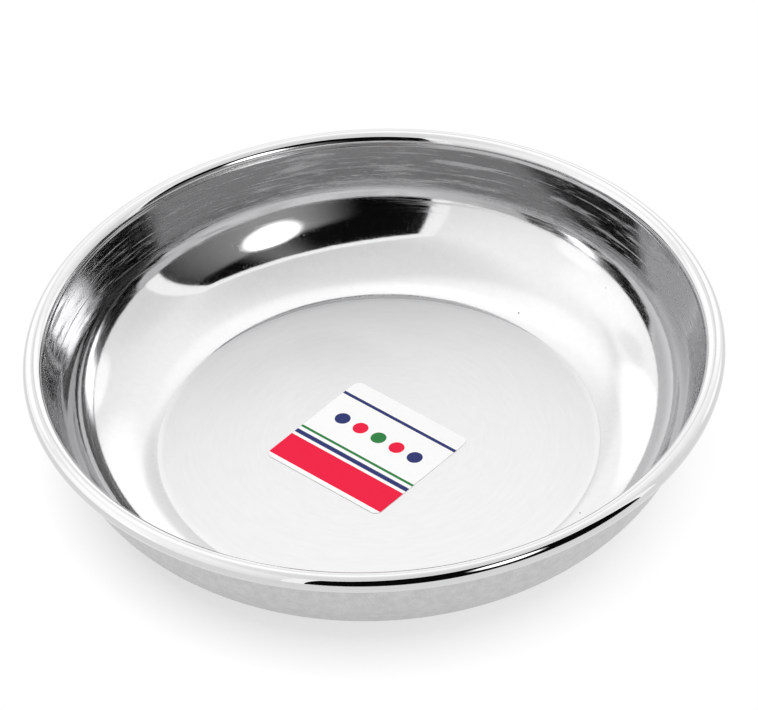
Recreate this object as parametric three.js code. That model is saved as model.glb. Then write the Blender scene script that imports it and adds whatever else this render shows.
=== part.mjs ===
// A round steel pudding plate: one pressed sheet with a rolled rim, and a label stuck to its base.
// Millimetres, +Z up. The origin is the middle of the base's underside.

import * as THREE from 'three';

const degrees = THREE.MathUtils.degToRad;

// The dish, over all
const RIM_DIAMETER = 180;
const PLATE_HEIGHT = 34.5;
const SHEET_THICKNESS = 0.5;
const BASE_DIAMETER = 115.2;

// The rolled rim: the outside of its round section, and what its free edge keeps clear of the wall
const BEAD_DIAMETER = 5;
const CURL_GAP = 0.4;

// How steep the inner face is where each stretch of the wall begins or ends
const CREASE_SLOPE = degrees(2);
const KNEE_END_SLOPE = degrees(74.4);
const WALL_TOP_SLOPE = degrees(80);

// The label, and where its middle lies on the base
const LABEL_LENGTH = 38.2;
const LABEL_WIDTH = 36.8;
const LABEL_CORNER_RADIUS = 2;
const LABEL_X = -3;
const LABEL_Y = -2.4;
const LABEL_TURN = degrees(-42.8);
const ADHESIVE_THICKNESS = 0.05;
const FILM_THICKNESS = 0.1;

// How finely round stretches are divided
const TURN_STEPS = 64;
const KNEE_STEPS = 9;
const UPPER_WALL_STEPS = 4;
const CURL_STRETCH_STEPS = 6;
const CORNER_STEPS = 6;

const STEEL = new THREE.MeshStandardMaterial({ color: 0xd9dadb, roughness: 0.12, metalness: 1 });
const ADHESIVE = new THREE.MeshStandardMaterial({ color: 0xe8e4d8, roughness: 0.5, metalness: 0 });
const PRINTED_FILM = new THREE.MeshStandardMaterial({ color: 0xf4f4f2, roughness: 0.25, metalness: 0 });

// A point of the turned section, at a distance from a centre along the inner face's normal at a slope
function alongNormal(centre, slope, distance) {
  const normal = new THREE.Vector2(-Math.sin(slope), Math.cos(slope));
  return centre.clone().addScaledVector(normal, distance);
}

// Points of an arc round a centre, from one slope to another, without the first
function arcPoints(centre, distance, fromSlope, toSlope, steps) {
  const points = [];
  for (let step = 1; step <= steps; step += 1) {
    const slope = THREE.MathUtils.lerp(fromSlope, toSlope, step / steps);
    points.push(alongNormal(centre, slope, distance));
  }
  return points;
}

// Radii of the two arcs, knee and upper wall, that lead from the base's edge to the bead
function wallRadii(run, rise) {
  const kneeRun = Math.sin(KNEE_END_SLOPE) - Math.sin(CREASE_SLOPE);
  const kneeRise = Math.cos(CREASE_SLOPE) - Math.cos(KNEE_END_SLOPE);
  const upperRun = Math.sin(WALL_TOP_SLOPE) - Math.sin(KNEE_END_SLOPE);
  const upperRise = Math.cos(KNEE_END_SLOPE) - Math.cos(WALL_TOP_SLOPE);
  const scale = kneeRun * upperRise - upperRun * kneeRise;
  return {
    knee: (run * upperRise - rise * upperRun) / scale,
    upper: (rise * kneeRun - run * kneeRise) / scale,
  };
}

// Slopes of the curl's points past the wall's top. Its highest and its widest place are among them,
// and it stops where its free edge would come within the gap of the wall.
function curlSlopes(beadRadius, hollowRadius) {
  const wallOutside = hollowRadius * Math.sin(WALL_TOP_SLOPE);
  const endSlope = Math.acos((wallOutside - CURL_GAP) / beadRadius) - 1.5 * Math.PI;
  const stops = [WALL_TOP_SLOPE, 0, -Math.PI / 2, endSlope];
  const slopes = [];
  for (let stop = 1; stop < stops.length; stop += 1) {
    for (let step = 1; step <= CURL_STRETCH_STEPS; step += 1) {
      slopes.push(THREE.MathUtils.lerp(stops[stop - 1], stops[stop], step / CURL_STRETCH_STEPS));
    }
  }
  return slopes;
}

// The dish's half section, from the axis along the underside, round the curl and back inside
function dishSection() {
  const baseRadius = BASE_DIAMETER / 2;
  const beadRadius = BEAD_DIAMETER / 2;
  const baseEdge = new THREE.Vector2(baseRadius, SHEET_THICKNESS);
  const beadCentre = new THREE.Vector2(RIM_DIAMETER / 2 - beadRadius, PLATE_HEIGHT - beadRadius);
  const wallTop = alongNormal(beadCentre, WALL_TOP_SLOPE, beadRadius);
  const radii = wallRadii(wallTop.x - baseEdge.x, wallTop.y - baseEdge.y);
  const kneeCentre = alongNormal(baseEdge, CREASE_SLOPE, radii.knee);
  const upperCentre = alongNormal(wallTop, WALL_TOP_SLOPE, radii.upper);

  const outerKnee = -(radii.knee + SHEET_THICKNESS);
  const outerUpper = -(radii.upper + SHEET_THICKNESS);
  const curlHollow = beadRadius - SHEET_THICKNESS;
  const curl = curlSlopes(beadRadius, curlHollow);
  const underEdge = new THREE.Vector2(baseRadius + SHEET_THICKNESS * Math.tan(CREASE_SLOPE / 2), 0);

  return [
    new THREE.Vector2(0, 0),
    underEdge,
    ...arcPoints(kneeCentre, outerKnee, CREASE_SLOPE, KNEE_END_SLOPE, KNEE_STEPS),
    ...arcPoints(upperCentre, outerUpper, KNEE_END_SLOPE, WALL_TOP_SLOPE, UPPER_WALL_STEPS),
    ...curl.map((slope) => alongNormal(beadCentre, slope, curlHollow)),
    ...curl.reverse().map((slope) => alongNormal(beadCentre, slope, beadRadius)),
    wallTop,
    ...arcPoints(upperCentre, -radii.upper, WALL_TOP_SLOPE, KNEE_END_SLOPE, UPPER_WALL_STEPS),
    ...arcPoints(kneeCentre, -radii.knee, KNEE_END_SLOPE, CREASE_SLOPE, KNEE_STEPS),
    new THREE.Vector2(0, SHEET_THICKNESS),
  ];
}

function makeDish() {
  const geometry = new THREE.LatheGeometry(dishSection(), TURN_STEPS);
  geometry.rotateX(Math.PI / 2);
  const dish = new THREE.Mesh(geometry, STEEL);
  dish.name = 'dish';
  return dish;
}

// The label's outline, a rectangle with rounded corners about its own middle
function labelOutline() {
  const halfLength = LABEL_LENGTH / 2 - LABEL_CORNER_RADIUS;
  const halfWidth = LABEL_WIDTH / 2 - LABEL_CORNER_RADIUS;
  const quarter = Math.PI / 2;
  const outline = new THREE.Shape();
  outline.absarc(halfLength, halfWidth, LABEL_CORNER_RADIUS, 0, quarter);
  outline.absarc(-halfLength, halfWidth, LABEL_CORNER_RADIUS, quarter, 2 * quarter);
  outline.absarc(-halfLength, -halfWidth, LABEL_CORNER_RADIUS, 2 * quarter, 3 * quarter);
  outline.absarc(halfLength, -halfWidth, LABEL_CORNER_RADIUS, 3 * quarter, 4 * quarter);
  outline.closePath();
  return outline;
}

function makeLabelLayer(name, height, thickness, material) {
  const options = { depth: thickness, bevelEnabled: false, curveSegments: CORNER_STEPS };
  const layer = new THREE.Mesh(new THREE.ExtrudeGeometry(labelOutline(), options), material);
  layer.name = name;
  layer.position.z = height;
  return layer;
}

function makeLabel() {
  const label = new THREE.Group();
  label.position.set(LABEL_X, LABEL_Y, SHEET_THICKNESS);
  label.rotation.z = LABEL_TURN;
  label.add(makeLabelLayer('label_adhesive', 0, ADHESIVE_THICKNESS, ADHESIVE));
  label.add(makeLabelLayer('label_film', ADHESIVE_THICKNESS, FILM_THICKNESS, PRINTED_FILM));
  return label;
}

const plate = new THREE.Group();
plate.add(makeDish());
plate.add(makeLabel());

export default plate;
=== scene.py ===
"""A round steel pudding plate: a pressed dish with a rolled rim, and a striped label stuck to its base."""

from math import acos, cos, pi, radians, sin
from typing import NamedTuple

import bmesh
import bpy
from bpy.props import FloatProperty, FloatVectorProperty, PointerProperty
from mathutils import Matrix, Vector


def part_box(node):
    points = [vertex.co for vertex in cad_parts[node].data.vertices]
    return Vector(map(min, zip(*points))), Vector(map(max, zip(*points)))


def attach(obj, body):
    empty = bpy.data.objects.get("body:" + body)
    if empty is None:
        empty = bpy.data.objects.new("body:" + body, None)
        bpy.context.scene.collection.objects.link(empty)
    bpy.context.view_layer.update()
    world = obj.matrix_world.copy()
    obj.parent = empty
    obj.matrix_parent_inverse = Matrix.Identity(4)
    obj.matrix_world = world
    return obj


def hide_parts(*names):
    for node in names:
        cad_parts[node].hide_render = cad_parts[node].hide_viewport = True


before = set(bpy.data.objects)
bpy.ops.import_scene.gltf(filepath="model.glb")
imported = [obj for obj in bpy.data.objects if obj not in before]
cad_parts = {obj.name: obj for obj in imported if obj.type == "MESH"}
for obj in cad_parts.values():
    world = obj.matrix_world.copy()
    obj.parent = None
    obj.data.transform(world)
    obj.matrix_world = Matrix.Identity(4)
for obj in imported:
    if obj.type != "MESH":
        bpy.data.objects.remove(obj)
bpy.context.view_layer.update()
DISH_LOW, DISH_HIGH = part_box("dish")
FILM_LOW, FILM_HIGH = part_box("label_film")
ADHESIVE_LOW, ADHESIVE_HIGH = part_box("label_adhesive")

bl_info = {
    "name": "Pudding plate",
    "version": (1, 0, 0),
    "blender": (4, 5, 0),
    "location": "3D View > Sidebar > Plate",
    "description": "A pressed steel pudding plate with a rolled rim and a label, in a light studio",
    "category": "Object",
}

# How finely round stretches are divided
TURN_STEPS = 288
KNEE_STEPS = 44
UPPER_WALL_STEPS = 20
CURL_STEPS = 48
CORNER_STEPS = 10
FILM_EDGE_STEPS = 2

# Points of the turned dish that lie closer together than this are one
MERGE_DISTANCE = 1e-6

# Faces that meet at more than these angles keep a hard edge
SHARP_ANGLE = radians(35)
FILM_SHARP_ANGLE = radians(20)

# The width of the last ring of the flat base, which keeps the shading of the rest level
EDGE_RING = 0.0008

# The dish's finishes, in the order of its material slots
SATIN, WALL, BEAD, OUTSIDE = range(4)

# Fine specks and broader clouds that bare steel shows, and the noise of its darkest and lightest places
SPECKS_PER_METRE = 2600
CLOUDS_PER_METRE = 450
MOTTLE_DARK = 0.75
MOTTLE_LIGHT = 1.25

# What the mottling takes from the shade of polished and of drawn steel, and how dark drawn steel is
POLISHED_MOTTLING = 0.03
DRAWN_MOTTLING = 0.15
DRAWN_SHADE = 0.92

# Fine lines that the tools leave, as spots around the plate and per metre outwards
BASE_LINES = (6, 900)
WALL_LINES = (8, 2500)
BEAD_LINES = (4, 1500)
OUTSIDE_LINES = (300, 25)

# How high the lines stand, and the share of that height that the specks of polished and drawn steel have
POLISHED_RELIEF = 3e-6
DRAWN_RELIEF = 8e-6
SPECK_RELIEF_SHARE = 1 / 6

# How high both lines and specks stand on the satin base
SATIN_RELIEF = 1e-6

# How fine the noise behind lines and marks goes
GRAIN_DETAIL = 3.0
GRAIN_ROUGHNESS = 0.6

# Small dark pits scattered through the sheet
PITS_PER_METRE = 110.0
PIT_RADIUS = 0.00025
PIT_SHADE = 0.2

# Where up the wall wear and a painted darker shade begin and are full, how dull wear makes it, and the shade
WEAR_AND_SHADE_START = 0.009
WEAR_AND_SHADE_FULL = 0.022
WORN_ROUGHNESS = 0.40
UPPER_WALL_PAINTED_SHADE = 0.90

# Marks on the worn wall: spots around the plate and per metre outwards, and the noise that makes a mark
STREAKS = {"around": 12, "along": 1700, "start": 0.54, "full": 0.78, "strength": 0.8}
SCRATCHES = {"around": 2, "along": 1250, "start": 0.58, "full": 0.70, "strength": 1.0}
SMEARS = {"around": 3, "along": 400, "start": 0.55, "full": 0.68, "strength": 0.9}

# The noise where a speck of the wall starts to be dull and is dullest, and its strength there
DULL_SPECK_START = 0.56
DULL_SPECK_FULL = 0.80
DULL_SPECK_STRENGTH = 0.45

# The satin base's shades beside its lines and on them, and the noise between the two
SATIN_LOW_SHADE = 1.05
SATIN_HIGH_SHADE = 1.09
SATIN_LOW_NOISE = 0.3
SATIN_HIGH_NOISE = 0.7

# The width of the ring where the satin base ends
SATIN_FADE = 0.0012

# Turn of the satin base, 0 face on and 1 edge on, where it is dull and where it mirrors with a painted darker
# shade
SATIN_FACING = 0.44
GRAZING_FACING = 0.66

# Turn of the film, 0 face on and 1 edge on, where a painted grey glare starts and is full, and the glare's
# shade
GLARE_START = 0.56
GLARE_END = 0.72
PAINTED_GLARE_SHADE = 0.28

# The film's gloss
FILM_ROUGHNESS = 0.4
FILM_SPECULAR = 0.15

# The label's stripes: each one's middle, across the label from the label's own, and its width
BROAD_STRIPE = (-0.0125, 0.0090)
INNER_STRIPE = (-0.0063, 0.0014)
MIDDLE_STRIPE = (-0.0041, 0.0008)
OUTER_STRIPE = (0.0128, 0.0010)

# The label's row of dots: its place across the label, and the dots' spacing and radius
DOT_ROW = 0.0045
DOT_SPACING = 0.0062
DOT_RADIUS = 0.0021

# The adhesive's cloudy colours
ADHESIVE_DARK = (0.80, 0.77, 0.68)
ADHESIVE_PALE = (0.90, 0.88, 0.82)
ADHESIVE_CLOUDS_PER_METRE = 600
ADHESIVE_ROUGHNESS = 0.5


class TentLamp(NamedTuple):
    """A soft lamp behind the tent's cloth, or a shaded place where its strength is below 0.

    Angles are in degrees. The azimuth runs from the camera's side to the right, rim is the angle from the
    spot's middle to where it ends, and even is the share of that angle over which it doesn't fade.
    """

    azimuth: float
    elevation: float
    rim: float
    even: float
    strength: float


# The tent's lamps and shaded places
TENT_LAMPS = (
    TentLamp(-140, 30, 140, 0.25, 0.37),
    TentLamp(-146, 27, 17, 0.70, 0.24),
    TentLamp(-147, 60, 20, 0.30, 0.17),
    TentLamp(-97, 28, 22, 0.20, 0.14),
    TentLamp(-77, 12, 12, 0.40, 0.22),
    TentLamp(156, 24, 20, 0.40, 0.22),
    TentLamp(176, 57, 16, 0.40, 0.12),
    TentLamp(122, 13, 12, 0.60, 0.30),
    TentLamp(174, 37, 8, 0.30, -0.25),
    TentLamp(-121, 28, 9, 0.30, -0.14),
    TentLamp(90, 28, 20, 0.20, -0.07),
    TentLamp(15, 80, 42, 0.25, -0.28),
)

# The tent's seam: its middle, its reach to either side, its width and what it takes away
SEAM_AZIMUTH = radians(-150)
SEAM_ELEVATION = radians(41)
SEAM_REACH = radians(32)
SEAM_WIDTH = 0.06
SEAM_SHADE = 0.18

# Where the even light is strongest, and the share of it that comes from all round
LIGHT_AZIMUTH = radians(105)
LIGHT_ELEVATION = radians(40)
LIGHT_SHARE_ALL_ROUND = 0.5

# What a level surface gets of a light that fades from overhead to the horizon
LEVEL_SHARE = 2 / 3

# The floor: its size, its drop below the plate, and where its shadow starts to fade, from the plate's axis
FLOOR_SIZE = 8.0
FLOOR_DROP = 0.0002
SHADOW_START = 0.0725

# The dark side of the studio, seen only in the steel: its place, size and brightness, and its bright hem
DARK_DISTANCE = 1.0
DARK_AZIMUTH = radians(27.5)
DARK_HALF_WIDTH = 1.19
DARK_HEIGHT = 1.82
DARK_LEVEL = 0.004
HEM_WIDTH = 0.33
HEM_FOOT = 0.08
HEM_LEVEL = 1.35

# The window in the dark side: its middle, half sizes, tilt, brightness, and reach in half sizes, squared
WINDOW_X = 0.18
WINDOW_Z = 0.71
WINDOW_HALF_WIDTH = 0.179
WINDOW_HALF_LENGTH = 0.304
WINDOW_TILT = radians(20)
WINDOW_LEVEL = 4.3
WINDOW_REACH_SQUARED = 1.8

# The glow beside the window: its brightness, where it rises and fades, and the slanting edge above it
GLOW_LEVEL = 0.40
GLOW_START = -0.49
GLOW_FULL = 0.05
GLOW_FADE_START = 0.2
GLOW_FADE_END = 1.1
GLOW_LEFT_OVER = 0.14
GLOW_EDGE_RISE = 0.46
GLOW_EDGE_START = 0.72
GLOW_EDGE_END = 0.92

# The haze above the window: its brightness, its middle and half width, and where it starts and is full
HAZE_LEVEL = 0.20
HAZE_X = 0.27
HAZE_HALF_WIDTH = 0.35
HAZE_START = 0.9
HAZE_FULL = 1.1

# Light that grazes the wall runs round it in many bounces
GLOSSY_BOUNCES = 12

# The photograph's width in pixels, and the width of the camera's sensor in millimetres
IMAGE_WIDTH = 758
SENSOR_WIDTH = 36.0


class DishSizes(bpy.types.PropertyGroup):
    """Sizes of the pressed dish"""

    rim_diameter: FloatProperty(
        name="Rim diameter", description="Width over the rolled rim",
        default=DISH_HIGH.x - DISH_LOW.x, unit="LENGTH")
    height: FloatProperty(
        name="Height", description="Height from the base's underside to the rim's top",
        default=DISH_HIGH.z - DISH_LOW.z, unit="LENGTH")
    sheet: FloatProperty(
        name="Sheet", description="Thickness of the steel sheet",
        default=FILM_LOW.z - (ADHESIVE_HIGH.z - ADHESIVE_LOW.z), unit="LENGTH")
    base_diameter: FloatProperty(
        name="Base diameter", description="Width of the flat base",
        default=0.1152, unit="LENGTH")
    bead_diameter: FloatProperty(
        name="Bead diameter", description="Thickness of the rolled rim",
        default=0.005, unit="LENGTH")
    curl_gap: FloatProperty(
        name="Curl gap", description="What the curl's free edge keeps clear of the wall",
        default=0.0004, unit="LENGTH")
    crease_slope: FloatProperty(
        name="Crease slope", description="Slope of the knee where it leaves the base",
        default=radians(2), subtype="ANGLE")
    knee_end_slope: FloatProperty(
        name="Knee end slope", description="Slope where the knee runs into the upper wall",
        default=radians(74.4), subtype="ANGLE")
    wall_top_slope: FloatProperty(
        name="Wall top slope", description="Slope of the wall where it meets the bead in a crease",
        default=radians(78.4), subtype="ANGLE")
    bead_start_slope: FloatProperty(
        name="Bead start slope", description="Slope of the bead where it meets the wall in a crease",
        default=radians(100), subtype="ANGLE")


class SteelFinish(bpy.types.PropertyGroup):
    """Colour and polish of the steel"""

    colour: FloatVectorProperty(
        name="Steel", description="Colour that the bare steel reflects",
        default=(0.66, 0.66, 0.665), subtype="COLOR", min=0, max=1)
    base_roughness: FloatProperty(
        name="Base roughness", description="Roughness of the satin base, seen from above",
        default=0.42, min=0, max=1, subtype="FACTOR")
    base_edge_roughness: FloatProperty(
        name="Base edge roughness", description="Roughness where the satin base runs into the polished wall",
        default=0.28, min=0, max=1, subtype="FACTOR")
    base_grazing_roughness: FloatProperty(
        name="Base grazing roughness", description="Roughness of the satin base, seen at a low angle",
        default=0.05, min=0, max=1, subtype="FACTOR")
    # A painted darker shade of the base at low angles
    base_painted_grazing_shade: FloatProperty(
        name="Base grazing shade", description="Share of the steel's colour in the base, seen at a low angle",
        default=0.70, min=0, max=1, subtype="FACTOR")
    base_edge_on: FloatProperty(
        name="Base edge on", description="Share of the light that the base mirrors at the lowest angles",
        default=0.70, min=0, max=1, subtype="FACTOR")
    wall_roughness: FloatProperty(
        name="Wall roughness", description="Roughness of the polished wall",
        default=0.05, min=0, max=1, subtype="FACTOR")
    bead_roughness: FloatProperty(
        name="Bead roughness", description="Roughness of the mirror-bright rolled rim",
        default=0.0, min=0, max=1, subtype="FACTOR")
    outside_roughness: FloatProperty(
        name="Outside roughness", description="Roughness of the drawn outside",
        default=0.35, min=0, max=1, subtype="FACTOR")


class LabelDesign(bpy.types.PropertyGroup):
    """Place, sizes and colours of the label"""

    length: FloatProperty(
        name="Length", description="Length of the label",
        default=0.0382, unit="LENGTH")
    width: FloatProperty(
        name="Width", description="Width of the label",
        default=0.0368, unit="LENGTH")
    corner_radius: FloatProperty(
        name="Corner radius", description="Radius of its corners",
        default=0.002, unit="LENGTH")
    place: FloatVectorProperty(
        name="Place", description="Middle of the label on the base",
        default=(-0.003, -0.0024), size=2, unit="LENGTH")
    turn: FloatProperty(
        name="Turn", description="Turn of the label about the plate's axis",
        default=radians(-42.8), subtype="ANGLE")
    edge_round: FloatProperty(
        name="Edge round", description="Rounding of the film's upper edge",
        default=0.00003, unit="LENGTH")
    ground: FloatVectorProperty(
        name="Ground", description="White of the film",
        default=(1.0, 1.0, 0.995), subtype="COLOR", min=0, max=1)
    crimson: FloatVectorProperty(
        name="Crimson", description="Ink of the broad stripe and of some dots",
        default=(0.90, 0.003, 0.05), subtype="COLOR", min=0, max=1)
    navy: FloatVectorProperty(
        name="Navy", description="Ink of two thin stripes and of some dots",
        default=(0.02, 0.03, 0.16), subtype="COLOR", min=0, max=1)
    green: FloatVectorProperty(
        name="Green", description="Ink of the thinnest stripe and of the middle dot",
        default=(0.02, 0.22, 0.05), subtype="COLOR", min=0, max=1)


class Studio(bpy.types.PropertyGroup):
    """Light, floor and camera"""

    floor_colour: FloatVectorProperty(
        name="Floor", description="Colour of the floor",
        default=(1.0, 0.985, 0.99), subtype="COLOR", min=0, max=1)
    floor_shadow: FloatProperty(
        name="Floor shadow", description="Share of the plate's shadow that the floor shows close to it",
        default=0.40, min=0, max=1, subtype="FACTOR")
    shadow_reach: FloatProperty(
        name="Shadow reach", description="From the plate's axis to where its shadow ends",
        default=0.0885, unit="LENGTH")
    light_level: FloatProperty(
        name="Light level", description="Strength of the even light all round",
        default=1.0, min=0)
    tent_level: FloatProperty(
        name="Tent level", description="Brightness of the tent's cloth where no lamp is near",
        default=1.0, min=0)
    camera_distance: FloatProperty(
        name="Camera distance", description="From the middle of the rim to the camera",
        default=1.26, unit="LENGTH")
    camera_elevation: FloatProperty(
        name="Camera elevation", description="Height of the camera above the horizon",
        default=radians(40.42), subtype="ANGLE")
    camera_roll: FloatProperty(
        name="Camera roll", description="Tilt of the camera about its own view",
        default=radians(3.07), subtype="ANGLE")
    focal_pixels: FloatProperty(
        name="Focal length in pixels", description="Focal length, in pixels of the photograph",
        default=4917)
    middle_offset: FloatVectorProperty(
        name="Middle offset", description="Pixels from the image's middle to the rim's middle, right and up",
        default=(-5.5, 6.4), size=2)


def settings():
    """The scene, which carries the property groups."""
    return bpy.context.scene


def add_rectangle(bm, length, width):
    """Adds a level rectangle about the origin."""
    bmesh.ops.create_grid(bm, x_segments=1, y_segments=1, size=0.5)
    bmesh.ops.scale(bm, vec=(length, width, 1), verts=bm.verts)


def finished(bm, name, materials, sharp_angle=SHARP_ANGLE):
    """Writes a bmesh to a new object that carries these materials, smooth except at sharp edges."""
    mesh = bpy.data.meshes.new(name)
    for face in bm.faces:
        face.smooth = True
    bm.to_mesh(mesh)
    bm.free()
    mesh.set_sharp_from_angle(angle=sharp_angle)
    for material in materials:
        mesh.materials.append(material)
    piece = bpy.data.objects.new(name, mesh)
    bpy.context.scene.collection.objects.link(piece)
    return piece


def new_material(name):
    """A new material, with its node tree and its Principled shader."""
    material = bpy.data.materials.new(name)
    material.use_nodes = True
    return material, material.node_tree, material.node_tree.nodes["Principled BSDF"]


def bare_material(name):
    """A new material without a shader, with its node tree and the socket of its surface."""
    material = bpy.data.materials.new(name)
    material.use_nodes = True
    tree = material.node_tree
    tree.nodes.clear()
    output = tree.nodes.new("ShaderNodeOutputMaterial")
    return material, tree, output.inputs["Surface"]


def feed(tree, socket, value):
    """Links an output to a socket, or sets a plain value on it."""
    if isinstance(value, bpy.types.NodeSocket):
        tree.links.new(value, socket)
    else:
        socket.default_value = value


def maths(tree, operation, *values):
    """A Math node's result."""
    node = tree.nodes.new("ShaderNodeMath")
    node.operation = operation
    for socket, value in zip(node.inputs, values):
        feed(tree, socket, value)
    return node.outputs[0]


def vector_maths(tree, operation, *values):
    """A Vector Math node's results, of which an operation gives the Vector or the Value."""
    node = tree.nodes.new("ShaderNodeVectorMath")
    node.operation = operation
    for socket, value in zip(node.inputs, values):
        feed(tree, socket, value)
    return node.outputs


def split_up(tree, vector):
    """A vector's three parts."""
    node = tree.nodes.new("ShaderNodeSeparateXYZ")
    feed(tree, node.inputs[0], vector)
    return node.outputs["X"], node.outputs["Y"], node.outputs["Z"]


def sum_of_squares(tree, first, second):
    """The squares of two values, added."""
    return maths(tree, "MULTIPLY_ADD", first, first, maths(tree, "MULTIPLY", second, second))


def weighted_sum(tree, first, first_weight, second, second_weight):
    """Two values, each times its weight, added."""
    return maths(tree, "MULTIPLY_ADD", first, first_weight, maths(tree, "MULTIPLY", second, second_weight))


def remap(tree, value, low, high, to_low, to_high, smooth=False):
    """A value taken from one range to another, and held at its ends."""
    node = tree.nodes.new("ShaderNodeMapRange")
    node.interpolation_type = "SMOOTHSTEP" if smooth else "LINEAR"
    feed(tree, node.inputs["Value"], value)
    for name, number in zip(("From Min", "From Max", "To Min", "To Max"), (low, high, to_low, to_high)):
        feed(tree, node.inputs[name], number)
    return node.outputs["Result"]


def mixed(tree, factor, first, second):
    """Two colours mixed by a factor."""
    node = tree.nodes.new("ShaderNodeMix")
    node.data_type = "RGBA"
    feed(tree, node.inputs["Factor"], factor)
    feed(tree, node.inputs["A"], first)
    feed(tree, node.inputs["B"], second)
    return node.outputs["Result"]


def shaded(colour, share):
    """A colour times a share, with its alpha."""
    return [channel * share for channel in colour] + [1]


def object_place(tree):
    """A surface point's place in the plate's frame."""
    return tree.nodes.new("ShaderNodeTexCoord").outputs["Object"]


def round_place(tree):
    """A surface point's direction from the plate's axis, its way out along the section and its height."""
    place = object_place(tree)
    level = vector_maths(tree, "MULTIPLY", place, (1, 1, 0))["Vector"]
    direction = vector_maths(tree, "NORMALIZE", level)["Vector"]
    radius = vector_maths(tree, "LENGTH", level)["Value"]
    _, _, height = split_up(tree, place)
    return direction, maths(tree, "ADD", radius, height), height


def noise_over(tree, place, scale):
    """A Noise Texture node over a place."""
    node = tree.nodes.new("ShaderNodeTexNoise")
    feed(tree, node.inputs["Vector"], place)
    feed(tree, node.inputs["Scale"], scale)
    return node


def grain(tree, direction, way_out, around, along):
    """Noise on the turned surface, with its own number of spots around the plate and per metre outwards."""
    outwards = tree.nodes.new("ShaderNodeCombineXYZ")
    feed(tree, outwards.inputs["Z"], maths(tree, "MULTIPLY", way_out, along))
    stretch = (around, around, 0)
    place = vector_maths(tree, "MULTIPLY_ADD", direction, stretch, outwards.outputs[0])["Vector"]
    noise = noise_over(tree, place, 1.0)
    feed(tree, noise.inputs["Detail"], GRAIN_DETAIL)
    feed(tree, noise.inputs["Roughness"], GRAIN_ROUGHNESS)
    return noise.outputs["Fac"]


def specks(tree, per_metre):
    """Noise with no direction, with its number of spots per metre."""
    return noise_over(tree, object_place(tree), per_metre).outputs["Fac"]


def pits(tree):
    """1 in a few small pits, and 0 elsewhere."""
    cells = tree.nodes.new("ShaderNodeTexVoronoi")
    feed(tree, cells.inputs["Vector"], object_place(tree))
    feed(tree, cells.inputs["Scale"], PITS_PER_METRE)
    return maths(tree, "LESS_THAN", cells.outputs["Distance"], PIT_RADIUS * PITS_PER_METRE)


def mark(tree, direction, way_out, around, along, start, full, strength):
    """One kind of mark on the turned steel, from 0 where it is clean to the mark's strength."""
    return remap(tree, grain(tree, direction, way_out, around, along), start, full, 0, strength)


def wall_marks(tree, direction, way_out, wear_and_shade):
    """Streaks, scratches and smears where the upper wall is scuffed, and dull specks all over it."""
    marks = 0.0
    for kind in (STREAKS, SCRATCHES, SMEARS):
        marks = maths(tree, "MAXIMUM", mark(tree, direction, way_out, **kind), marks)
    dull_specks = remap(tree, specks(tree, SPECKS_PER_METRE), DULL_SPECK_START, DULL_SPECK_FULL,
                        0, DULL_SPECK_STRENGTH)
    return maths(tree, "MAXIMUM", maths(tree, "MULTIPLY", marks, wear_and_shade), dull_specks)


def raised(tree, shader, *heights):
    """Gives a shader a bump from the sum of patterns, each with its height in metres."""
    total = 0.0
    for pattern, height in heights:
        total = maths(tree, "MULTIPLY_ADD", pattern, height, total)
    bump = tree.nodes.new("ShaderNodeBump")
    feed(tree, bump.inputs["Strength"], 1.0)
    feed(tree, bump.inputs["Distance"], 1.0)
    feed(tree, bump.inputs["Height"], total)
    feed(tree, shader.inputs["Normal"], bump.outputs[0])


def low_angle(tree, start, end):
    """0 where a surface faces the view, and 1 where it is seen at a low angle."""
    facing = tree.nodes.new("ShaderNodeLayerWeight").outputs["Facing"]
    return remap(tree, facing, start, end, 0, 1, smooth=True)


def steel(name, roughness, shade, mottling, lines, relief, worn_and_shaded=False):
    """Bare steel with mottling, pits and fine lines, and when asked, rough marks above the knee and a painted
    darker shade there.
    """
    finish = settings().steel_finish
    material, tree, shader = new_material(name)
    direction, way_out, height = round_place(tree)
    mottle = maths(tree, "ADD", specks(tree, CLOUDS_PER_METRE), specks(tree, SPECKS_PER_METRE))
    light = remap(tree, mottle, MOTTLE_DARK, MOTTLE_LIGHT, 0, 1)
    darkest = shaded(finish.colour, (1 - mottling) * shade)
    colour = mixed(tree, light, darkest, shaded(finish.colour, shade))
    if worn_and_shaded:
        wear_and_shade = remap(tree, height, WEAR_AND_SHADE_START, WEAR_AND_SHADE_FULL, 0, 1, smooth=True)
        # A painted darker shade that grows towards the top of the wall
        colour = mixed(tree, wear_and_shade, colour, shaded(finish.colour, UPPER_WALL_PAINTED_SHADE * shade))
        marks = wall_marks(tree, direction, way_out, wear_and_shade)
        roughness = maths(tree, "MULTIPLY_ADD", marks, WORN_ROUGHNESS, roughness)
    colour = mixed(tree, pits(tree), colour, shaded(finish.colour, PIT_SHADE))
    feed(tree, shader.inputs["Base Color"], colour)
    feed(tree, shader.inputs["Metallic"], 1.0)
    feed(tree, shader.inputs["Roughness"], roughness)
    raised(tree, shader, (grain(tree, direction, way_out, *lines), relief),
           (specks(tree, SPECKS_PER_METRE), relief * SPECK_RELIEF_SHARE))
    return material


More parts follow.
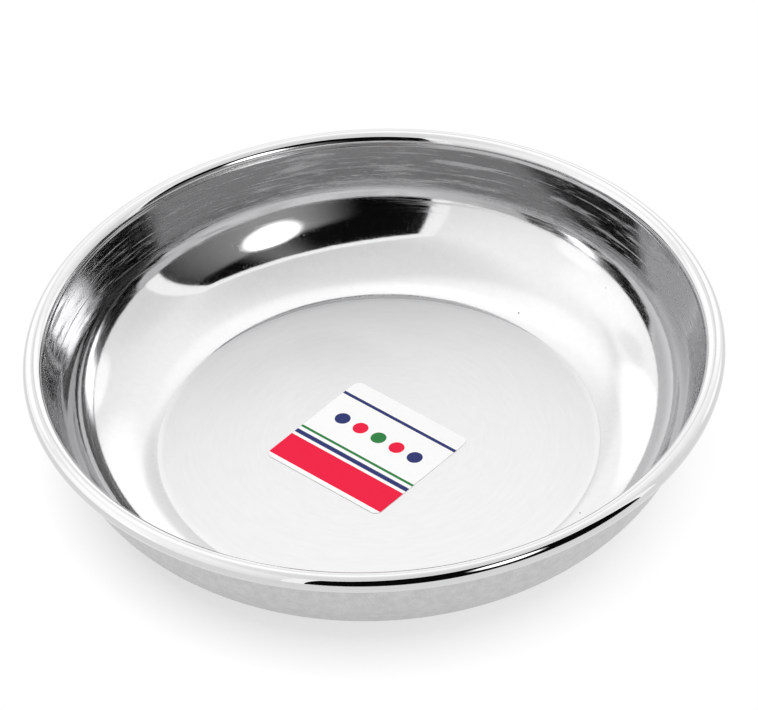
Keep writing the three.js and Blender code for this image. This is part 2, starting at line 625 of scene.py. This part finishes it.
def satin_base():
    """The base's finish: satin from above, sharper at low angles, and there a painted darker shade."""
    finish = settings().steel_finish
    base_edge = settings().dish_sizes.base_diameter / 2
    material, tree, shader = new_material("satin_base")
    direction, way_out, _ = round_place(tree)
    lines = grain(tree, direction, way_out, *BASE_LINES)
    low = low_angle(tree, SATIN_FACING, GRAZING_FACING)
    on_line = remap(tree, lines, SATIN_LOW_NOISE, SATIN_HIGH_NOISE, 0, 1)
    uneven = mixed(tree, on_line, shaded(finish.colour, SATIN_LOW_SHADE),
                   shaded(finish.colour, SATIN_HIGH_SHADE))
    # At low angles the base's colour fades to a painted darker shade
    colour = mixed(tree, low, uneven, shaded(finish.colour, finish.base_painted_grazing_shade))
    feed(tree, shader.inputs["Base Color"], colour)
    feed(tree, shader.inputs["Metallic"], 1.0)
    feed(tree, shader.inputs["Specular Tint"], shaded((1, 1, 1), finish.base_edge_on))
    dull = remap(tree, way_out, base_edge - SATIN_FADE, base_edge,
                 finish.base_roughness, finish.base_edge_roughness, smooth=True)
    feed(tree, shader.inputs["Roughness"], remap(tree, low, 0, 1, dull, finish.base_grazing_roughness))
    raised(tree, shader, (lines, SATIN_RELIEF), (specks(tree, SPECKS_PER_METRE), SATIN_RELIEF))
    return material


def normal_at(slope):
    """The inner face's normal in the turned section, at a slope."""
    return Vector((-sin(slope), 0, cos(slope)))


def wall_radii(sizes, run, rise):
    """Radii of the two arcs, knee and upper wall, that lead from the base's edge to the bead."""
    knee_run = sin(sizes.knee_end_slope) - sin(sizes.crease_slope)
    knee_rise = cos(sizes.crease_slope) - cos(sizes.knee_end_slope)
    upper_run = sin(sizes.wall_top_slope) - sin(sizes.knee_end_slope)
    upper_rise = cos(sizes.knee_end_slope) - cos(sizes.wall_top_slope)
    scale = knee_run * upper_rise - upper_run * knee_rise
    knee = (run * upper_rise - rise * upper_run) / scale
    upper = (rise * knee_run - run * knee_rise) / scale
    return knee, upper


def arc_on(bm, end, centre, angle, steps):
    """Leads the section on from its end along an arc, and returns its new end."""
    turned = bmesh.ops.spin(bm, geom=[end], cent=centre, axis=(0, -1, 0), angle=angle, steps=steps)
    return next(item for item in turned["geom_last"] if isinstance(item, bmesh.types.BMVert))


def draw_section(bm, sizes):
    """Draws the inner face's half section, from the axis to the curl's end, and returns the bead's centre."""
    base_radius = sizes.base_diameter / 2
    bead_radius = sizes.bead_diameter / 2
    middle = bm.verts.new((0, 0, sizes.sheet))
    flat_end = bm.verts.new((base_radius - EDGE_RING, 0, sizes.sheet))
    base_edge = bm.verts.new((base_radius, 0, sizes.sheet))
    bm.edges.new((middle, flat_end))
    bm.edges.new((flat_end, base_edge))

    bead_centre = Vector((sizes.rim_diameter / 2 - bead_radius, 0, sizes.height - bead_radius))
    wall_top = bead_centre + normal_at(sizes.bead_start_slope) * bead_radius
    rise_and_run = wall_top - base_edge.co
    knee, upper = wall_radii(sizes, rise_and_run.x, rise_and_run.z)
    knee_centre = base_edge.co + normal_at(sizes.crease_slope) * knee
    upper_centre = wall_top + normal_at(sizes.wall_top_slope) * upper
    wall_outside = (bead_radius - sizes.sheet) * sin(sizes.wall_top_slope)
    curl_end_slope = acos((wall_outside - sizes.curl_gap) / bead_radius) - 1.5 * pi

    end = arc_on(bm, base_edge, knee_centre, sizes.knee_end_slope - sizes.crease_slope, KNEE_STEPS)
    end = arc_on(bm, end, upper_centre, sizes.wall_top_slope - sizes.knee_end_slope, UPPER_WALL_STEPS)
    arc_on(bm, end, bead_centre, curl_end_slope - sizes.bead_start_slope, CURL_STEPS)
    return bead_centre


def turn_section(bm):
    """Turns the half section about the plate's axis, with the faces pointing inwards and up."""
    bmesh.ops.spin(bm, geom=bm.verts[:] + bm.edges[:], cent=(0, 0, 0), axis=(0, 0, 1), angle=2 * pi,
                   steps=TURN_STEPS, use_merge=True)
    bmesh.ops.remove_doubles(bm, verts=bm.verts, dist=MERGE_DISTANCE)
    bmesh.ops.recalc_face_normals(bm, faces=bm.faces)
    middle_face = min(bm.faces, key=lambda face: face.calc_center_median().xy.length)
    if middle_face.normal.z < 0:
        bmesh.ops.reverse_faces(bm, faces=bm.faces)


def mark_finishes(bm, sizes, bead_centre):
    """Gives each face of the turned inner face the finish of the base, the wall or the bead."""
    for face in bm.faces:
        place = face.calc_center_median()
        from_bead = Vector((place.xy.length - bead_centre.x, 0, place.z - bead_centre.z))
        if place.xy.length < sizes.base_diameter / 2:
            face.material_index = SATIN
        elif from_bead.length < sizes.bead_diameter / 2:
            face.material_index = BEAD
        else:
            face.material_index = WALL


def thicken(bm, sheet):
    """Gives the turned face the sheet's thickness, with the drawn finish on the new outside."""
    thickened = bmesh.ops.solidify(bm, geom=bm.faces[:], thickness=sheet)
    for item in thickened["geom"]:
        if isinstance(item, bmesh.types.BMFace):
            item.material_index = OUTSIDE


class PLATE_OT_make_dish(bpy.types.Operator):
    """Make the pressed steel dish with its rolled rim"""

    bl_idname = "plate.make_dish"
    bl_label = "Make dish"

    def execute(self, context):
        sizes = context.scene.dish_sizes
        finish = context.scene.steel_finish
        bm = bmesh.new()
        bead_centre = draw_section(bm, sizes)
        turn_section(bm)
        mark_finishes(bm, sizes, bead_centre)
        thicken(bm, sizes.sheet)

        polished_wall = steel("polished_wall", finish.wall_roughness, 1.0, POLISHED_MOTTLING,
                              WALL_LINES, POLISHED_RELIEF, worn_and_shaded=True)
        polished_bead = steel("polished_bead", finish.bead_roughness, 1.0, POLISHED_MOTTLING,
                              BEAD_LINES, POLISHED_RELIEF)
        drawn_outside = steel("drawn_outside", finish.outside_roughness, DRAWN_SHADE, DRAWN_MOTTLING,
                              OUTSIDE_LINES, DRAWN_RELIEF)
        dish = finished(bm, "pressed_dish", (satin_base(), polished_wall, polished_bead, drawn_outside))
        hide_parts("dish")
        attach(dish, "root")
        return {"FINISHED"}


def label_place(tree, design):
    """A surface point's place on the label, along and across it from its middle."""
    mapping = tree.nodes.new("ShaderNodeMapping")
    mapping.vector_type = "TEXTURE"
    feed(tree, mapping.inputs["Location"], (design.place[0], design.place[1], 0))
    feed(tree, mapping.inputs["Rotation"], (0, 0, design.turn))
    feed(tree, mapping.inputs["Vector"], object_place(tree))
    along, across, _ = split_up(tree, mapping.outputs[0])
    return along, across


def stripe(tree, across, middle, width):
    """1 inside a stripe of that width about a middle, and 0 outside it."""
    away = maths(tree, "ABSOLUTE", maths(tree, "SUBTRACT", across, middle))
    return maths(tree, "LESS_THAN", away, width / 2)


def dot(tree, along, across, dot_along):
    """1 inside a dot of the row, at its place along the label, and 0 outside it."""
    sideways = maths(tree, "SUBTRACT", along, dot_along)
    upwards = maths(tree, "SUBTRACT", across, DOT_ROW)
    return maths(tree, "LESS_THAN", sum_of_squares(tree, sideways, upwards), DOT_RADIUS * DOT_RADIUS)


def printed_film():
    """White gloss film with a broad stripe, thin ones beside it and a row of dots."""
    design = settings().label_design
    material, tree, shader = new_material("printed_film")
    along, across = label_place(tree, design)
    colour = shaded(design.ground, 1)
    stripes = (
        (BROAD_STRIPE, design.crimson),
        (INNER_STRIPE, design.navy),
        (MIDDLE_STRIPE, design.green),
        (OUTER_STRIPE, design.navy),
    )
    for (middle, width), ink in stripes:
        colour = mixed(tree, stripe(tree, across, middle, width), colour, shaded(ink, 1))
    dots = (design.navy, design.crimson, design.green, design.crimson, design.navy)
    middle_dot = (len(dots) - 1) / 2
    for number, ink in enumerate(dots):
        dot_along = (number - middle_dot) * DOT_SPACING
        colour = mixed(tree, dot(tree, along, across, dot_along), colour, shaded(ink, 1))
    # At low angles the print gives way to a painted grey glare
    painted_glare = low_angle(tree, GLARE_START, GLARE_END)
    feed(tree, shader.inputs["Base Color"], mixed(tree, painted_glare, colour, shaded(design.ground, PAINTED_GLARE_SHADE)))
    feed(tree, shader.inputs["Roughness"], FILM_ROUGHNESS)
    feed(tree, shader.inputs["Specular IOR Level"], FILM_SPECULAR)
    return material


def clear_adhesive():
    """The pale adhesive under the film."""
    material, tree, shader = new_material("clear_adhesive")
    clouds = specks(tree, ADHESIVE_CLOUDS_PER_METRE)
    colour = mixed(tree, clouds, shaded(ADHESIVE_DARK, 1), shaded(ADHESIVE_PALE, 1))
    feed(tree, shader.inputs["Base Color"], colour)
    feed(tree, shader.inputs["Roughness"], ADHESIVE_ROUGHNESS)
    return material


class PLATE_OT_make_label(bpy.types.Operator):
    """Make the printed film of the label, and finish the adhesive under it"""

    bl_idname = "plate.make_label"
    bl_label = "Make label"

    def execute(self, context):
        design = context.scene.label_design
        thickness = FILM_HIGH.z - FILM_LOW.z
        bm = bmesh.new()
        add_rectangle(bm, design.length, design.width)
        bmesh.ops.bevel(bm, geom=bm.verts[:], offset=design.corner_radius, offset_type="OFFSET",
                        segments=CORNER_STEPS, profile=0.5, affect="VERTICES", material=-1)
        lifted = bmesh.ops.extrude_face_region(bm, geom=bm.faces[:], use_keep_orig=True)
        top = [item for item in lifted["geom"] if isinstance(item, bmesh.types.BMVert)]
        bmesh.ops.translate(bm, vec=(0, 0, thickness), verts=top)
        bmesh.ops.recalc_face_normals(bm, faces=bm.faces)
        rim = [edge for edge in bm.edges if all(vert in top for vert in edge.verts)]
        bmesh.ops.bevel(bm, geom=rim, offset=design.edge_round, offset_type="OFFSET",
                        segments=FILM_EDGE_STEPS, profile=0.5, affect="EDGES", material=-1)
        bmesh.ops.rotate(bm, cent=(0, 0, 0), matrix=Matrix.Rotation(design.turn, 3, "Z"), verts=bm.verts)
        bmesh.ops.translate(bm, vec=(design.place[0], design.place[1], FILM_LOW.z), verts=bm.verts)

        film = finished(bm, "printed_label", (printed_film(),), FILM_SHARP_ANGLE)
        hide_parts("label_film")
        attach(film, "root")

        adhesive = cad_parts["label_adhesive"]
        adhesive.data.materials.clear()
        adhesive.data.materials.append(clear_adhesive())
        return {"FINISHED"}


def towards(azimuth, elevation):
    """The direction from the plate, with azimuth from the camera's side to the right."""
    return Vector((sin(azimuth) * cos(elevation), -cos(azimuth) * cos(elevation), sin(elevation)))


def along_direction(tree, vector, direction):
    """How far a vector goes along a direction."""
    return vector_maths(tree, "DOT_PRODUCT", vector, direction)["Value"]


def seen_directly(tree):
    """1 for rays from the camera and for rays that a glossy or clear surface sends on, and 0 for the rest."""
    path = tree.nodes.new("ShaderNodeLightPath")
    seen = maths(tree, "MAXIMUM", path.outputs["Is Camera Ray"], path.outputs["Is Glossy Ray"])
    return maths(tree, "MAXIMUM", seen, path.outputs["Is Transmission Ray"])


def floor_finish(studio):
    """A pale floor that looks white and keeps part of the plate's shadow."""
    material, tree, surface = bare_material("pale_floor")
    diffuse = tree.nodes.new("ShaderNodeBsdfDiffuse")
    feed(tree, diffuse.inputs["Color"], shaded(studio.floor_colour, 1))
    emission = tree.nodes.new("ShaderNodeEmission")
    feed(tree, emission.inputs["Strength"], 1.0)
    from_axis = vector_maths(tree, "LENGTH", object_place(tree))["Value"]
    white = remap(tree, from_axis, SHADOW_START, studio.shadow_reach, 1 - studio.floor_shadow, 1)
    mix = tree.nodes.new("ShaderNodeMixShader")
    feed(tree, mix.inputs[0], maths(tree, "MULTIPLY", seen_directly(tree), white))
    feed(tree, mix.inputs[1], diffuse.outputs[0])
    feed(tree, mix.inputs[2], emission.outputs[0])
    feed(tree, surface, mix.outputs[0])
    return material


def tent_brightness(tree, studio):
    """How bright the tent's cloth is in each direction, as the steel sees it."""
    direction = tree.nodes.new("ShaderNodeTexCoord").outputs["Generated"]
    brightness = studio.tent_level
    for lamp in TENT_LAMPS:
        middle = towards(radians(lamp.azimuth), radians(lamp.elevation))
        fade_start = radians(lamp.rim * lamp.even)
        spot = remap(tree, along_direction(tree, direction, middle), cos(radians(lamp.rim)), cos(fade_start),
                     0, lamp.strength, smooth=True)
        brightness = maths(tree, "ADD", spot, brightness)
    nearness = along_direction(tree, direction, towards(SEAM_AZIMUTH, SEAM_ELEVATION))
    reach = remap(tree, nearness, cos(SEAM_REACH), cos(SEAM_REACH / 2), 0, SEAM_SHADE, smooth=True)
    height = along_direction(tree, direction, (0, 0, 1))
    off = maths(tree, "ABSOLUTE", maths(tree, "SUBTRACT", height, sin(SEAM_ELEVATION)))
    seam = maths(tree, "MULTIPLY", reach, remap(tree, off, 0, SEAM_WIDTH, 1, 0, smooth=True))
    return maths(tree, "SUBTRACT", brightness, seam)


def even_light(tree, studio):
    """Soft light from all round, stronger from one side, that lights a level surface to the plain level."""
    direction = tree.nodes.new("ShaderNodeTexCoord").outputs["Generated"]
    facing = along_direction(tree, direction, towards(LIGHT_AZIMUTH, LIGHT_ELEVATION))
    all_round = studio.light_level * LIGHT_SHARE_ALL_ROUND
    lean = (studio.light_level - all_round) / (LEVEL_SHARE * sin(LIGHT_ELEVATION))
    return maths(tree, "MAXIMUM", maths(tree, "MULTIPLY_ADD", facing, lean, all_round), 0.0)


def build_world(studio):
    """White for the camera, the tent's cloth for the steel, and the even light for the rest."""
    world = bpy.data.worlds.new("studio_world")
    bpy.context.scene.world = world
    world.use_nodes = True
    world.cycles.sampling_method = "NONE"
    tree = world.node_tree
    tree.nodes.clear()
    path = tree.nodes.new("ShaderNodeLightPath")
    in_steel = maths(tree, "MAXIMUM", path.outputs["Is Glossy Ray"], path.outputs["Is Transmission Ray"])
    strength = remap(tree, in_steel, 0, 1, even_light(tree, studio), tent_brightness(tree, studio))
    strength = remap(tree, path.outputs["Is Camera Ray"], 0, 1, strength, 1.0)
    background = tree.nodes.new("ShaderNodeBackground")
    feed(tree, background.inputs["Color"], (1, 1, 1, 1))
    feed(tree, background.inputs["Strength"], strength)
    output = tree.nodes.new("ShaderNodeOutputWorld")
    feed(tree, output.inputs["Surface"], background.outputs[0])


def tilted_window(tree, across, upwards):
    """The brightness of a tilted soft window, from a card's own place across and upwards."""
    right = maths(tree, "SUBTRACT", across, WINDOW_X)
    up = maths(tree, "SUBTRACT", upwards, WINDOW_Z)
    level = cos(WINDOW_TILT)
    tilt = sin(WINDOW_TILT)
    wide = weighted_sum(tree, right, level / WINDOW_HALF_WIDTH, up, -tilt / WINDOW_HALF_WIDTH)
    high = weighted_sum(tree, right, tilt / WINDOW_HALF_LENGTH, up, level / WINDOW_HALF_LENGTH)
    squares = sum_of_squares(tree, wide, high)
    return remap(tree, squares, 0, WINDOW_REACH_SQUARED, WINDOW_LEVEL, 0, smooth=True)


def window_glow(tree, across, upwards):
    """The brightness of the glow beside the window, which ends above at a slanting edge."""
    rising = remap(tree, across, GLOW_START, GLOW_FULL, 0, GLOW_LEVEL, smooth=True)
    fading = remap(tree, across, GLOW_FADE_START, GLOW_FADE_END, 1, GLOW_LEFT_OVER)
    over_edge = maths(tree, "MULTIPLY_ADD", across, -GLOW_EDGE_RISE, upwards)
    below = remap(tree, over_edge, GLOW_EDGE_START, GLOW_EDGE_END, 1, 0, smooth=True)
    return maths(tree, "MULTIPLY", maths(tree, "MULTIPLY", rising, fading), below)


def window_haze(tree, across, upwards):
    """The brightness of the haze above the window."""
    aside = maths(tree, "ABSOLUTE", maths(tree, "SUBTRACT", across, HAZE_X))
    column = remap(tree, aside, 0, HAZE_HALF_WIDTH, HAZE_LEVEL, 0, smooth=True)
    return maths(tree, "MULTIPLY", column, remap(tree, upwards, HAZE_START, HAZE_FULL, 0, 1, smooth=True))


def dark_side():
    """Black with a bright hem and a soft window. Its glow, haze and foot show in all steel but a mirror."""
    material, tree, surface = bare_material("dark_side")
    across, _, upwards = split_up(tree, object_place(tree))
    in_mirror = tree.nodes.new("ShaderNodeLightPath").outputs["Is Singular Ray"]
    hazy = maths(tree, "SUBTRACT", 1.0, in_mirror)
    lit = maths(tree, "ADD", window_glow(tree, across, upwards), window_haze(tree, across, upwards))
    strength = maths(tree, "MULTIPLY_ADD", lit, hazy, tilted_window(tree, across, upwards))
    strength = maths(tree, "ADD", strength, DARK_LEVEL)
    beside = maths(tree, "GREATER_THAN", maths(tree, "ABSOLUTE", across), DARK_HALF_WIDTH)
    above = maths(tree, "GREATER_THAN", upwards, DARK_HEIGHT)
    foot = maths(tree, "LESS_THAN", upwards, maths(tree, "MULTIPLY", hazy, HEM_FOOT))
    in_hem = maths(tree, "MAXIMUM", maths(tree, "MAXIMUM", beside, above), foot)
    emission = tree.nodes.new("ShaderNodeEmission")
    feed(tree, emission.inputs["Strength"], remap(tree, in_hem, 0, 1, strength, HEM_LEVEL))
    feed(tree, surface, emission.outputs[0])
    return material


def place_floor(studio):
    """The floor, just under the plate."""
    bm = bmesh.new()
    add_rectangle(bm, FLOOR_SIZE, FLOOR_SIZE)
    bmesh.ops.translate(bm, vec=(0, 0, -FLOOR_DROP), verts=bm.verts)
    floor = finished(bm, "floor", (floor_finish(studio),))


def place_dark_card():
    """The card of the dark side, upright on the floor and turned to the plate, which only the steel sees."""
    height = DARK_HEIGHT + HEM_WIDTH
    bm = bmesh.new()
    add_rectangle(bm, 2 * (DARK_HALF_WIDTH + HEM_WIDTH), height)
    bmesh.ops.rotate(bm, cent=(0, 0, 0), matrix=Matrix.Rotation(pi / 2, 3, "X"), verts=bm.verts)
    bmesh.ops.translate(bm, vec=(0, 0, height / 2), verts=bm.verts)
    card = finished(bm, "dark_card", (dark_side(),))
    card.location = towards(DARK_AZIMUTH, 0) * DARK_DISTANCE
    card.rotation_euler = (0, 0, DARK_AZIMUTH)
    card.visible_camera = False
    card.visible_diffuse = False
    card.visible_shadow = False


def place_camera(studio, sizes):
    """The camera, at the photograph's viewing angle."""
    data = bpy.data.cameras.new("photo_camera")
    data.sensor_fit = "HORIZONTAL"
    data.sensor_width = SENSOR_WIDTH
    data.lens = SENSOR_WIDTH * studio.focal_pixels / IMAGE_WIDTH
    data.shift_x = -studio.middle_offset[0] / IMAGE_WIDTH
    data.shift_y = -studio.middle_offset[1] / IMAGE_WIDTH
    camera = bpy.data.objects.new("photo_camera", data)
    bpy.context.scene.collection.objects.link(camera)
    back = towards(0, studio.camera_elevation)
    rim_middle = Vector((0, 0, sizes.height - sizes.bead_diameter / 2))
    camera.location = rim_middle + back * studio.camera_distance
    level = back.to_track_quat("Z", "Y").to_matrix()
    camera.rotation_euler = (level @ Matrix.Rotation(-studio.camera_roll, 3, "Z")).to_euler()
    bpy.context.scene.camera = camera


class PLATE_OT_make_stage(bpy.types.Operator):
    """Make the floor, the light and the camera"""

    bl_idname = "plate.make_stage"
    bl_label = "Make stage"

    def execute(self, context):
        studio = context.scene.studio
        place_floor(studio)
        place_dark_card()
        build_world(studio)
        place_camera(studio, context.scene.dish_sizes)
        context.scene.view_settings.view_transform = "Standard"
        context.scene.cycles.glossy_bounces = GLOSSY_BOUNCES
        return {"FINISHED"}


class PLATE_PT_sidebar(bpy.types.Panel):
    """The plate's sizes and the buttons that make it"""

    bl_idname = "PLATE_PT_sidebar"
    bl_label = "Pudding plate"
    bl_space_type = "VIEW_3D"
    bl_region_type = "UI"
    bl_category = "Plate"

    def draw(self, context):
        layout = self.layout
        for group in GROUPS:
            holder = getattr(context.scene, group)
            box = layout.box()
            for name in holder.__annotations__:
                box.prop(holder, name)
        for operator in OPERATORS:
            layout.operator(operator.bl_idname)


GROUPS = {
    "dish_sizes": DishSizes,
    "steel_finish": SteelFinish,
    "label_design": LabelDesign,
    "studio": Studio,
}
OPERATORS = (PLATE_OT_make_dish, PLATE_OT_make_label, PLATE_OT_make_stage)
CLASSES = (*GROUPS.values(), *OPERATORS, PLATE_PT_sidebar)


def register():
    for cls in CLASSES:
        bpy.utils.register_class(cls)
    for name, group in GROUPS.items():
        setattr(bpy.types.Scene, name, PointerProperty(type=group))


def unregister():
    for name in GROUPS:
        delattr(bpy.types.Scene, name)
    for cls in reversed(CLASSES):
        bpy.utils.unregister_class(cls)


def main():
    register()
    bpy.ops.plate.make_dish()
    bpy.ops.plate.make_label()
    bpy.ops.plate.make_stage()


if __name__ == "__main__":
    main()
